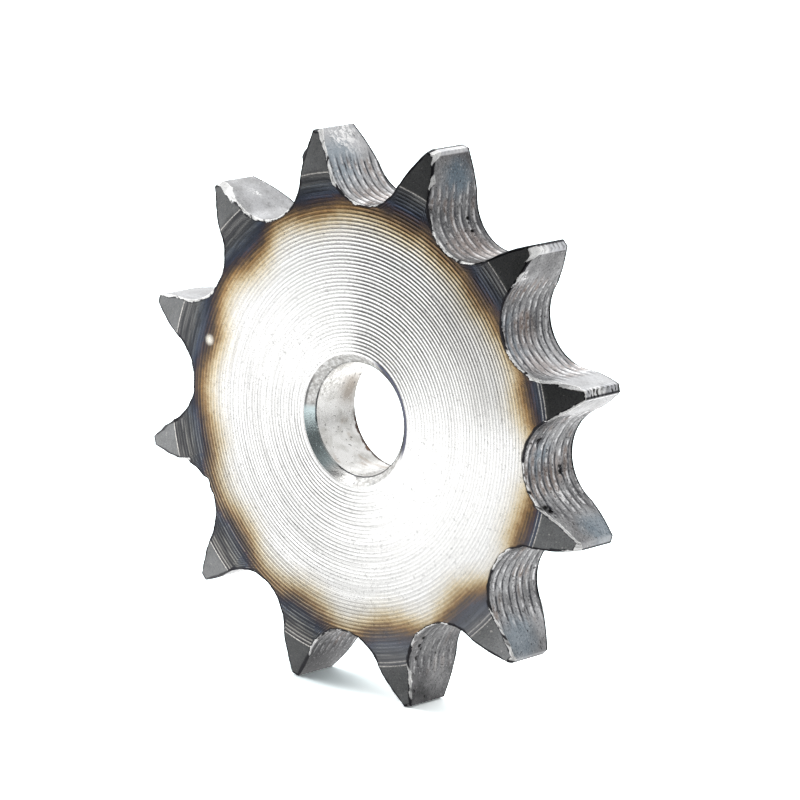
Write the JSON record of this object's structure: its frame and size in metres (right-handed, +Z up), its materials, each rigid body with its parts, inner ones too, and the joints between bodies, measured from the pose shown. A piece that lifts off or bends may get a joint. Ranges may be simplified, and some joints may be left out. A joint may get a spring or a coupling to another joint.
{
  "type": "chain sprocket",
  "caption": "Flat steel plate sprocket that drives or guides a roller chain: pointed teeth with bevelled sides round a turned disc with a plain chamfered bore.",
  "frame": {"origin": "centre of the bore, halfway through the plate", "axes": "+Y along the bore, from the pictured front face to the back face; +Z up, with a tooth gap facing straight down so that the sprocket stands on the two teeth beside it"},
  "size_m": [0.0394, 0.0052, 0.0394],
  "materials": {
    "steel": "faces turned bright in fine rings, teeth hardened dark with straw and blue heat tint, tooth sides scored by the cutter, small burrs and chips on the tooth edges"
  },
  "bodies": {
    "root": {"sprocket": "steel"}
  },
  "joints": []
}
